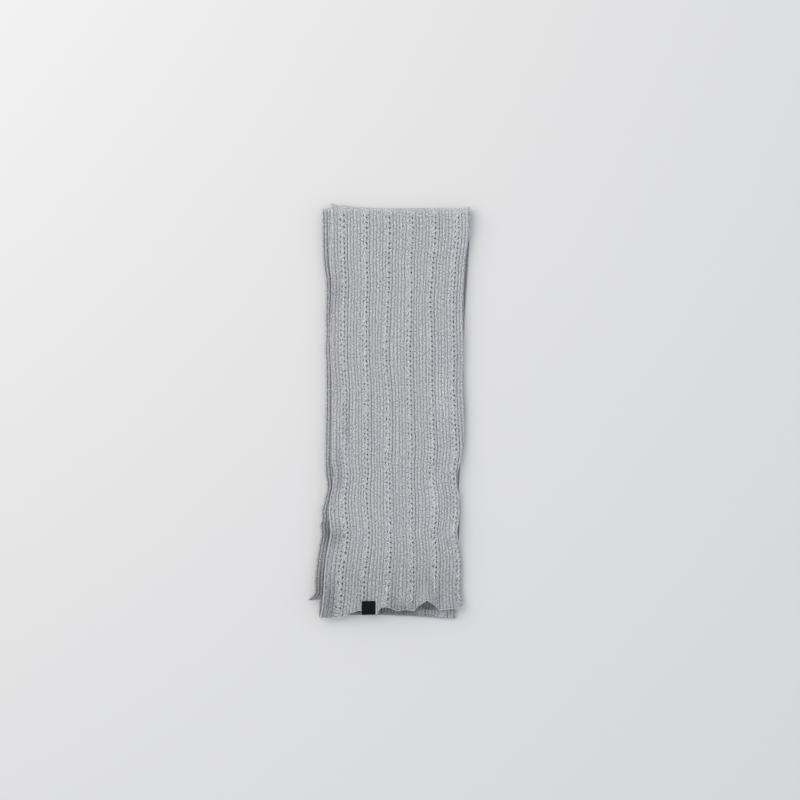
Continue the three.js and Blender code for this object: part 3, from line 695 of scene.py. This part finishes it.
def settle(piece):
    # turns what the modifiers make into the piece's own plain mesh
    view = bpy.context.evaluated_depsgraph_get()
    finished = piece.evaluated_get(view)
    mesh = bpy.data.meshes.new_from_object(finished, preserve_all_data_layers=True, depsgraph=view)
    mesh.name = piece.name
    piece.modifiers.clear()
    piece.data = mesh
    mesh.calc_loop_triangles()
    print(piece.name, len(mesh.loop_triangles), "triangles")
    return piece


def addKnit(piece, yarn, seed):
    modifier = piece.modifiers.new("ribKnit", "NODES")
    modifier.node_group = knitTree
    setInputs(modifier, knitTree, {
        "Rib Rise": knit["ribRise"] * mm, "Rib Roundness": knit["ribRoundness"],
        "Rib Wander": knit["ribWander"] * mm, "Loft Wander": knit["loftWander"] * mm,
        "Stitch Wander": knit["stitchWander"] * mm,
        "Stripe Every": knit["stripeEvery"], "First Stripe": knit["firstStripe"],
        "Lace Fill": knit["laceFill"],
        "Eyelet Pull": knit["eyeletPull"] * mm, "Zigzag": knit["zigzag"] * mm,
        "Closed Left": knit["closedLeft"], "Closed Right": knit["closedRight"], "Seed": seed, "Yarn": yarn,
    })


def knitPiece(name, place, length, fine, openAlong, yarn, seed, onStrip, paintedShading, faceUp=1, loft=None):
    piece = knitGrid(name, place, length, fine, openAlong, faceUp, loft, onStrip=onStrip, paintedShading=paintedShading)
    addKnit(piece, yarn, seed)
    wall = piece.modifiers.new("wall", "SOLIDIFY")
    wall.thickness = cloth["thickness"] * mm
    wall.offset = 0
    return settle(piece)


def addStrands(piece, sizes, yarn, seed):
    modifier = piece.modifiers.new("strands", "NODES")
    modifier.node_group = strandsTree
    setInputs(modifier, strandsTree, {
        "Length": sizes["length"] * mm, "Thickness": sizes["thick"] * mm, "Arch": sizes["arch"] * mm,
        "Above": sizes["above"] * mm, "Uneven": sizes["uneven"], "Seed": seed, "Yarn": yarn})


def strandPiece(name, place, length, openAlong, strands, sizes, yarn, seed, loft=None, lastRow=None):
    piece = knitGrid(name, place, length, lambda rib: True, openAlong, 1, loft, strands, lastRow)
    addKnit(piece, yarn, seed)
    addStrands(piece, sizes, yarn, seed)
    return settle(piece)


def linear(hexColour):
    parts = [int(hexColour[i:i + 2], 16) / 255 for i in (1, 3, 5)]
    return [p / 12.92 if p <= 0.04045 else ((p + 0.055) / 1.055) ** 2.4 for p in parts] + [1]


topRun = topFlat + foldPath(*outerFold, None)
secondRun = secondFlat + foldPath(*innerFold, None)
stripLength = topRun + baseRun + thirdRun + secondRun
print("strip length", round(stripLength), "mm")

yarn = {
    "dark": "#8c9096",
    "mid": "#d1d4d8",
    "light": "#f5f6f8",
    "darkAt": 0.33,
    "lightAt": 0.67,
    # painted shade in the purl valleys: its colour, how much of it, how narrow, and how it varies in the
    # stripes and along each valley
    "valley": "#787c84",
    "valleyPaintedShade": 0.53,
    "valleyEdge": 8.0,         # the higher, the narrower a valley is
    "laceValley": 0.15,        # how dark the stripes' own valleys are, beside the others
    "borderValley": 0.6,       # how much darker the one on their right is
    "valleyStreak": 2.9,       # how long a valley stays dark or pale
    "streak": (0.3, 1.95),     # and how pale and dark it gets
    "fleck": (1.15, 1.6),      # width and length of a fleck of fibre in the yarn
    "course": 1.36,
    "stitchSlant": 2.2,
    "stitchDepth": 0.2,
    "fleckDepth": 0.8,
}
# paler than the knit's yarn: a painted highlight on strands that stand clear
strandYarnPaintedLight = {"dark": "#c4c7cb", "light": "#ffffff", "darkAt": 0.3, "lightAt": 0.7, "fleck": 1.111}


def newMaterial(name):
    material = bpy.data.materials.new(name)
    material.use_nodes = True
    material.node_tree.nodes.clear()
    return material, material.node_tree


def setRamp(ramp, colours):
    for element, end in zip(ramp.elements, ("dark", "light")):
        element.position = colours[end + "At"]
        element.color = linear(colours[end])


def heatherYarnMaterial():
    # Heather grey cotton and viscose yarn in a 1x1 rib. Matt, with pale and dark fibres that fleck each
    # stitch, courses too fine to count from a step away, and painted shade in the purl columns, which sink
    # deeper than the modelled ribs.
    material, tree = newMaterial("heatherRibKnit")
    flat = addNode(tree, "ShaderNodeUVMap", uv_map="clothFlat")
    sides = addNode(tree, "ShaderNodeSeparateXYZ", {0: flat})
    down = sides.node.outputs[1]
    rib = addNode(tree, "ShaderNodeMath", {0: sides, 1: cloth["ribPitch"] * mm}, operation="DIVIDE")
    valley = valleyShape(tree, rib, yarn["valleyEdge"])

    # painted valley shade: the stripes' own valleys are painted nearly as pale as the ribs, and the one on
    # their right the darkest
    _, nearMiddle, _ = acrossStripe(tree, rib, knit["firstStripe"], knit["stripeEvery"])
    offLace = addNode(tree, "ShaderNodeMapRange", {
        "Value": nearMiddle, "From Min": 0.6, "From Max": 1.0, "To Min": yarn["laceValley"], "To Max": 1.0})
    onBorder = addNode(tree, "ShaderNodeMath", {0: nearMiddle, 1: 1.5, 2: 0.5}, operation="COMPARE")
    border = addNode(tree, "ShaderNodeMath", {0: onBorder, 1: yarn["borderValley"], 2: offLace},
                     operation="MULTIPLY_ADD")

    wide, long = yarn["fleck"]
    fleckPlace = addNode(tree, "ShaderNodeMapping", {
        "Vector": flat, "Scale": (1 / (wide * mm), 1 / (long * mm), 1)})
    fleck = addNode(tree, "ShaderNodeTexNoise", {
        "Vector": fleckPlace, "Scale": 1.0, "Detail": 2.0, "Roughness": 0.6})
    heather = addNode(tree, "ShaderNodeValToRGB", {"Fac": fleck})
    setRamp(heather.node.color_ramp, yarn)
    heather.node.color_ramp.elements.new(0.5).color = linear(yarn["mid"])
    streakPlace = addNode(tree, "ShaderNodeMapping", {"Vector": flat, "Scale": (
        1 / (cloth["ribPitch"] * mm), 1 / (yarn["valleyStreak"] * mm), 1)})
    streak = addNode(tree, "ShaderNodeTexNoise", {"Vector": streakPlace, "Scale": 1.0, "Detail": 3.0})
    palest, darkest = yarn["streak"]
    streakShare = addNode(tree, "ShaderNodeMapRange", {
        "Value": streak, "From Min": 0.3, "From Max": 0.7, "To Min": palest, "To Max": darkest})
    # the painted valley shade fades where the ribs lie flattened, and streaks along each valley
    loft = addNode(tree, "ShaderNodeAttribute", attribute_name="loft", output=2)
    lofty = addNode(tree, "ShaderNodeMath", {0: valley, 1: loft}, operation="MULTIPLY")
    valleyHere = addNode(tree, "ShaderNodeMath", {0: lofty, 1: border}, operation="MULTIPLY")
    shade = addNode(tree, "ShaderNodeMath", {0: valleyHere, 1: yarn["valleyPaintedShade"]}, operation="MULTIPLY")
    shadeHere = addNode(tree, "ShaderNodeMath", {0: shade, 1: streakShare},
                        operation="MULTIPLY", use_clamp=True)
    ribbed = addNode(tree, "ShaderNodeMix", {0: shadeHere, 6: heather, 7: linear(yarn["valley"])}, output=2,
                     data_type="RGBA")
    # painted light and shade from each piece: darker at hems, round the foot fold and in listed spots,
    # paler on a few ridges
    paintedShading = addNode(tree, "ShaderNodeAttribute", attribute_name="paintedShading", output=2)
    colour = addNode(tree, "ShaderNodeVectorMath", {0: ribbed, "Scale": paintedShading}, operation="SCALE")

    # the V of each knit stitch, drawn by its two slanting legs, and the loft of the flecks
    ribShare = addNode(tree, "ShaderNodeMath", {0: rib}, operation="FRACT")
    fromRidge = addNode(tree, "ShaderNodeMath", {0: ribShare, 1: 0.5}, operation="SUBTRACT")
    legs = addNode(tree, "ShaderNodeMath", {0: fromRidge}, operation="ABSOLUTE")
    course = addNode(tree, "ShaderNodeMath", {0: down, 1: yarn["course"] * mm}, operation="DIVIDE")
    slant = addNode(tree, "ShaderNodeMath", {0: legs, 1: yarn["stitchSlant"], 2: course},
                    operation="MULTIPLY_ADD")
    turn = addNode(tree, "ShaderNodeMath", {0: slant, 1: 2 * math.pi}, operation="MULTIPLY")
    stitch = addNode(tree, "ShaderNodeMath", {0: turn}, operation="SINE")
    stitchHigh = addNode(tree, "ShaderNodeMath", {0: stitch, 1: yarn["stitchDepth"] / 2},
                         operation="MULTIPLY")
    high = addNode(tree, "ShaderNodeMath", {0: fleck, 1: yarn["fleckDepth"] * 2, 2: stitchHigh},
                   operation="MULTIPLY_ADD")
    bump = addNode(tree, "ShaderNodeBump", {"Height": high, "Distance": mm, "Strength": 1.0})
    shader = addNode(tree, "ShaderNodeBsdfPrincipled", {
        "Base Color": colour, "Normal": bump, "Roughness": 0.92, "IOR": 1.5, "Specular IOR Level": 0.15,
        "Sheen Weight": 0.15, "Sheen Roughness": 0.5})
    addNode(tree, "ShaderNodeOutputMaterial", {"Surface": shader})
    return material


def strandYarnPaintedLightMaterial():
    # The same heather yarn where a single strand stands clear of the knit, painted paler as a painted
    # highlight for the light it catches.
    material, tree = newMaterial("heatherYarnStrandPaintedLight")
    place = addNode(tree, "ShaderNodeTexCoord", output="Object")
    fleck = addNode(tree, "ShaderNodeTexNoise", {
        "Vector": place, "Scale": 1 / (strandYarnPaintedLight["fleck"] * mm), "Detail": 2.0})
    heather = addNode(tree, "ShaderNodeValToRGB", {"Fac": fleck})
    setRamp(heather.node.color_ramp, strandYarnPaintedLight)
    shader = addNode(tree, "ShaderNodeBsdfPrincipled", {
        "Base Color": heather, "Roughness": 0.9, "IOR": 1.5, "Specular IOR Level": 0.15,
        "Sheen Weight": 0.15})
    addNode(tree, "ShaderNodeOutputMaterial", {"Surface": shader})
    return material


label = {
    "across": (-30.0, -14.9),
    "down": (432.2, 447.4),
    "turn": -0.02,         # radians, to the left
    "above": 1.55,
    "thick": 0.6,
    "steps": 14,
    "puff": 0.25,
    "bevel": 0.16,
    "cornerFrom": 0.38,    # where a side starts to turn in to its corner, from the middle, and by how much
    "cornerIn": 0.02,
    "overRib": 10.5,       # the stripe that it covers, up to this far from the hem
    "overRun": 13,
    "colour": "#10141e",
    "threadColour": "#1d222d",
    "pick": 0.42,          # a weft pick of the tape is about 0.15 mm, drawn coarser so that it shows,
    "thread": 0.5556,      # and so are its threads
    "weaveDepth": 0.05,
}


def tapeMaterial(name, colour, sheen):
    # Dark navy polyester damask tape: a close, flat weave with a faint sheen. The thread is the same.
    material, tree = newMaterial(name)
    place = addNode(tree, "ShaderNodeUVMap", uv_map="clothFlat")
    waveScale = 2 * math.pi / 20   # a Wave node at this scale has one band to a unit
    picks = addNode(tree, "ShaderNodeTexWave", {"Vector": place, "Scale": waveScale / (label["pick"] * mm)},
                    bands_direction="Y")
    threads = addNode(tree, "ShaderNodeTexNoise", {
        "Vector": place, "Scale": 1 / (label["thread"] * mm), "Detail": 2.0})
    high = addNode(tree, "ShaderNodeMath", {0: threads, 1: 0.8, 2: picks}, operation="MULTIPLY_ADD")
    bump = addNode(tree, "ShaderNodeBump", {
        "Height": high, "Distance": label["weaveDepth"] * mm, "Strength": 1.0})
    shader = addNode(tree, "ShaderNodeBsdfPrincipled", {
        "Base Color": linear(colour), "Normal": bump, "Roughness": 0.75, "IOR": 1.5,
        "Specular IOR Level": 0.12, "Sheen Weight": sheen})
    addNode(tree, "ShaderNodeOutputMaterial", {"Surface": shader})
    return material


def labelGrid(name, strands):
    # a tape that lies over the ribs; the corners are eased in and the middle is a little full
    steps = label["steps"]
    across, along = np.meshgrid(np.linspace(0, 1, steps), np.linspace(0, 1, steps))
    pastX = np.maximum(0, np.abs(across - 0.5) - label["cornerFrom"])
    pastY = np.maximum(0, np.abs(along - 0.5) - label["cornerFrom"])
    inward = label["cornerIn"] * pastX * pastY / (0.5 - label["cornerFrom"]) ** 2
    u = across + np.where(across < 0.5, inward, -inward)
    v = along + np.where(along < 0.5, inward, -inward)
    left, right = label["across"]
    head, foot = label["down"]
    x = left + u * (right - left)
    down = foot - v * (foot - head) + label["turn"] * (x - (left + right) / 2)
    # the height of the ribs below, read off the top stretch at the tape's own middle rows
    ribs = np.linspace(0, cloth["ribs"], 400)
    runs = topHem["at"] - np.clip(down, 0, topHem["at"])
    height = np.empty(across.shape)
    for row in range(steps):
        below = topPlace(ribs, np.full(len(ribs), runs[row].mean()))
        height[row] = np.interp(x[row], below[:, 0] / mm - cloth["middleX"], below[:, 2])
    points = placed(x, cloth["headY"] - down, height / mm)
    full = (1 - (2 * across - 1) ** 4) * (1 - (2 * along - 1) ** 4)
    points[..., 2] += (label["above"] + label["puff"] * (full - 1)) * mm
    downCloth = np.zeros(points.shape)
    downCloth[..., 1] = -1
    column = np.arange(steps)[None, :] + 0 * across
    row = np.arange(steps)[:, None] + 0 * across
    seam = ((column == 1) | (column == steps - 2)) & (row > 0) & (row < steps - 1) & (row % 2 == 1)
    size = (right - left) * mm
    flat = np.stack([across * size, along * size], axis=-1)
    return gridMesh(name, points, gridQuads(steps, steps), flat,
                    {"strand": seam if strands else 0 * across, "lean": 0 * across}, downCloth)


knitTree = ribKnitTree()
strandsTree = strandTree()
heather = heatherYarnMaterial()
heatherStrandPaintedLight = strandYarnPaintedLightMaterial()
navyTape = tapeMaterial("navyDamaskTape", label["colour"], 0.03)
navyThread = tapeMaterial("navySewingThread", label["threadColour"], 0.06)

# Strands that stand clear of the knit. Their lean is in degrees from the line of the ribs.
lace = {"length": 3.2, "thick": 0.43, "arch": 0.48, "above": 0.52, "uneven": 0.7, "lean": 44, "share": 0.75}
selvedge = {"length": 2.6, "thick": 0.3, "arch": 0.12, "above": 0.42, "uneven": 0.4}
castOff = {"length": 2.6, "thick": 0.37, "arch": 0.15, "above": 0.0, "uneven": 0.3, "lean": 82}
labelSeam = {"length": 1.7, "thick": 0.16, "arch": 0.18, "above": 0.02, "uneven": 0.2}
seeds = {"top": 3, "lace": 4, "selvedge": 9, "second": 7, "third": 11, "base": 13, "label": 5}
shown = {"second": 8, "secondHem": 9, "third": 6, "base": 37}   # up to which rib they show, or from which


def laceStrands(rib, course, run, openHere):
    # one strand at each row of the rib between two columns of eyelets, leaning left, right, left
    stripe = (rib - knit["firstStripe"]) % knit["stripeEvery"]
    row = np.round(course * 3).astype(int) % 3
    lean = np.choose(row, (1, -1, 0.4)) * math.radians(lace["lean"])
    # some strands sink into the knit, and those under the label are left out
    standsClear = np.random.default_rng(seeds["lace"]).random(rib.shape) < lace["share"]
    underLabel = (np.abs(rib - label["overRib"]) < 0.1) & (run < label["overRun"])
    return (np.abs(stripe - 0.5) < 0.05) & openHere & standsClear & ~underLabel, lean


def selvedgeStrands(rib, course, run, openHere):
    # the chain of edge stitches down the left selvedge
    return (np.abs(rib + knit["seamIn"]) < 0.05) & (run > 2) & (run < topFlat), 0 * rib


def castOffChain(place, rib, run):
    # a chain of slanting strands along a free hem, two to a rib, that follows the waves of the edge
    step = (rib * 2) % 1
    edge = np.gradient(place(rib, run), axis=1)
    turn = math.radians(castOff["lean"]) + np.arctan2(edge[..., 1], edge[..., 0])
    return ((step < 0.05) | (step > 0.95)) & (run <= 0.01), turn


def topCastOffStrands(rib, course, run, openHere):
    return castOffChain(topPlace, rib, run)


def secondCastOffStrands(rib, course, run, openHere):
    # the second stretch's hem shows only beyond the left edge of the top stretch
    chosen, turn = castOffChain(secondPlace, rib, run)
    return chosen & (rib < shown["secondHem"]), turn


# Where ribs stand lower or higher. On a fold: past its start, reach, lower by. On the flap beside the hem's
# deep wave: rib, reach in ribs, reach along, lower by. Along the left edge: rib, blend, higher by.
lofts = {
    "outerFold": (8, 14, 0.85),
    "innerFold": (5, 11, 0.8),
    "flap": (30.5, 5, 17, 0.7),
    "leftEdge": (4.6, 1.5, 0.6),
}


def foldLoft(which, run, flatRun):
    # the ribs flatten where the cloth bends round a head fold
    past, reach, lower = lofts[which]
    return 1 - lower * bump((run - flatRun - past) / reach)


def topLoft(rib, run):
    atRib, wide, long, lower = lofts["flap"]
    return foldLoft("outerFold", run, topFlat) - lower * bump((rib - atRib) / wide) * bump(run / long)


def secondLoft(rib, run):
    # the ribs stand higher, with deep valleys, where the left edge of the second stretch shows
    atRib, blend, higher = lofts["leftEdge"]
    return foldLoft("innerFold", run, secondFlat) * (1 + higher * ease((atRib - rib) / blend))


# Painted shade: how much darker the knit is drawn at a hem, and round the foot fold, where it changes from
# left to right
paintedShades = {"hem": 0.18, "hemReach": 95, "foldLeft": 0.56, "foldRight": 0.12, "foldReach": 26,
         "foldFrom": 24, "foldBlend": 17}


def paintedSpots(rib, down, spots):
    # painted shade in listed spots, and painted light where darker by is below 0
    darkness = 0 * rib
    for atRib, downAt, wide, long, darker in spots:
        darkness = darkness + darker * bump((rib - atRib) / wide) * bump((down - downAt) / long)
    return darkness


def hemPaintedShade(run):
    # painted shade, darker towards a hem
    return 1 - paintedShades["hem"] * ease(1 - run / paintedShades["hemReach"])


# painted shade towards the hem, and painted shade and light in spots
def topPaintedShading(rib, run):
    return hemPaintedShade(run) - paintedSpots(rib, topHem["at"] - run, topPaintedSpots)


def secondPaintedShade(rib, run):
    return hemPaintedShade(run) - paintedSpots(rib, secondHem["at"] - run, secondPaintedSpots)


def thirdPaintedShade(rib, run):
    # painted shade round the foot fold, where it lies under the lifted hem, less on the right
    rightward = ease((rib - paintedShades["foldFrom"]) / paintedShades["foldBlend"])
    fold = paintedShades["foldLeft"] + (paintedShades["foldRight"] - paintedShades["foldLeft"]) * rightward
    return 1 - fold * ease(1 - np.abs(run - thirdRun + math.pi * footRadius / 2) / paintedShades["foldReach"])


# painted shade round the foot fold, and in spots
def basePaintedShade(rib, run):
    return thirdPaintedShade(rib, run + thirdRun) * (1 - paintedSpots(rib, footTurn - run, basePaintedSpots))


# where each stretch has eyelets, and how many rows a cast-off edge needs
topOpen = (knit["plainHem"], topFlat)
secondOpen = (knit["plainHem"], secondFlat)
thirdOpen = (knit["plainEnd"], thirdRun - knit["plainEnd"])
baseOpen = (knit["plainEnd"], baseRun - knit["plainEnd"])
edgeRows = 3

top = knitPiece("topStretch", topPlace, topRun, lambda rib: True, topOpen, heather, seeds["top"], (0, 1),
                topPaintedShading, loft=topLoft)
topLace = strandPiece("topLaceStitches", topPlace, topRun, topOpen, laceStrands, lace, heatherStrandPaintedLight,
                      seeds["top"], loft=topLoft)
topSelvedge = strandPiece("topSelvedgeStitches", topPlace, topRun, topOpen, selvedgeStrands, selvedge,
                          heatherStrandPaintedLight, seeds["selvedge"], loft=topLoft)
topCastOff = strandPiece("topCastOffEdge", topPlace, topRun, topOpen, topCastOffStrands, castOff,
                         heatherStrandPaintedLight, seeds["top"], lastRow=edgeRows)
print("top stretch knitted")
second = knitPiece("secondStretch", secondPlace, secondRun, lambda rib: rib < shown["second"], secondOpen,
                   heather, seeds["second"], (stripLength, -1), secondPaintedShade, loft=secondLoft)
secondCastOff = strandPiece("secondCastOffEdge", secondPlace, secondRun, secondOpen, secondCastOffStrands,
                            castOff, heatherStrandPaintedLight, seeds["second"], lastRow=edgeRows)
third = knitPiece("thirdStretch", lowerPlace, thirdRun, lambda rib: rib < shown["third"], thirdOpen,
                  heather, seeds["third"], (topRun + baseRun + thirdRun, -1), thirdPaintedShade, faceUp=-1)
base = knitPiece("baseStretch", lambda rib, along: lowerPlace(rib, along + thirdRun), baseRun,
                 lambda rib: rib > shown["base"], baseOpen, heather, seeds["base"],
                 (topRun + baseRun, -1), basePaintedShade)
print("cloth knitted")

tape = labelGrid("labelTape", False)
tape.data.materials.append(navyTape)
tape.data.shade_smooth()
tapeWall = tape.modifiers.new("wall", "SOLIDIFY")
tapeWall.thickness = label["thick"] * mm
tapeWall.offset = -1
tapeEdge = tape.modifiers.new("roundedEdge", "BEVEL")
tapeEdge.width = label["bevel"] * mm
tapeEdge.segments = 2
settle(tape)
labelStitches = labelGrid("labelStitches", True)
addStrands(labelStitches, labelSeam, navyThread, seeds["label"])
settle(labelStitches)
print("label sewn on")

for piece in (tape, labelStitches):
    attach(piece, "root")
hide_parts("label")
for piece in (top, topLace, topSelvedge, topCastOff, second, secondCastOff, third, base):
    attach(piece, "root")

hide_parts("top_stretch")
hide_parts("second_stretch")
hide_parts("lower_stretches")
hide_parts("lower_stretches")

# Floor, light and camera. One pixel of the 800 pixel frame is 1.1 mm at the top of the cloth.
view = {"pixel": 1.1, "frame": 800, "lens": 85, "sensor": 36, "centreX": 12.1, "centreY": 11.8,
        "clothTop": 8.8}
backdrop = {"half": 12.0, "below": 0.2, "colour": "#eeeeef"}   # half its side in metres, millimetres below
half = backdrop["half"]
floorMesh = bpy.data.meshes.new("floor")
floorMesh.from_pydata([(-half, -half, 0), (half, -half, 0), (half, half, 0), (-half, half, 0)], [],
                      [(0, 1, 2, 3)])
floor = bpy.data.objects.new("floor", floorMesh)
bpy.context.scene.collection.objects.link(floor)
floor.location.z = -backdrop["below"] * mm
paper, paperTree = newMaterial("mattPaper")   # plain matt background paper
paperShader = addNode(paperTree, "ShaderNodeBsdfPrincipled", {
    "Base Color": linear(backdrop["colour"]), "Roughness": 0.95, "Specular IOR Level": 0.1})
addNode(paperTree, "ShaderNodeOutputMaterial", {"Surface": paperShader})
floorMesh.materials.append(paper)

camera = bpy.data.objects.new("camera", bpy.data.cameras.new("camera"))
bpy.context.scene.collection.objects.link(camera)
camera.data.lens = view["lens"]
camera.data.sensor_width = view["sensor"]
height = view["frame"] * view["pixel"] * mm * view["lens"] / view["sensor"]
camera.location = ((view["centreX"] + cloth["middleX"]) * mm, (view["centreY"] + cloth["middleY"]) * mm,
                   height + view["clothTop"] * mm)
bpy.context.scene.camera = camera

# a slightly warm softbox, and a room that fills the shade with cool light; together they are neutral
light = {"from": (-1.14, 0.98, 1.28), "size": 2.0, "power": 19.8, "colour": (1, 0.925, 0.83)}
roomLight = {"strength": 0.685, "colour": (0.928, 0.958, 1, 1)}
softbox = bpy.data.objects.new("softbox", bpy.data.lights.new("softbox", "AREA"))
softbox.data.energy = light["power"]
softbox.data.size = light["size"]
softbox.data.color = light["colour"]
softbox.location = light["from"]
softbox.rotation_euler = Vector(light["from"]).to_track_quat("Z", "Y").to_euler()
bpy.context.scene.collection.objects.link(softbox)
room = bpy.data.worlds.new("paleRoom")
bpy.context.scene.world = room
room.use_nodes = True
background = room.node_tree.nodes["Background"]
background.inputs["Color"].default_value = roomLight["colour"]
background.inputs["Strength"].default_value = roomLight["strength"]
bpy.context.scene.view_settings.view_transform = "Standard"
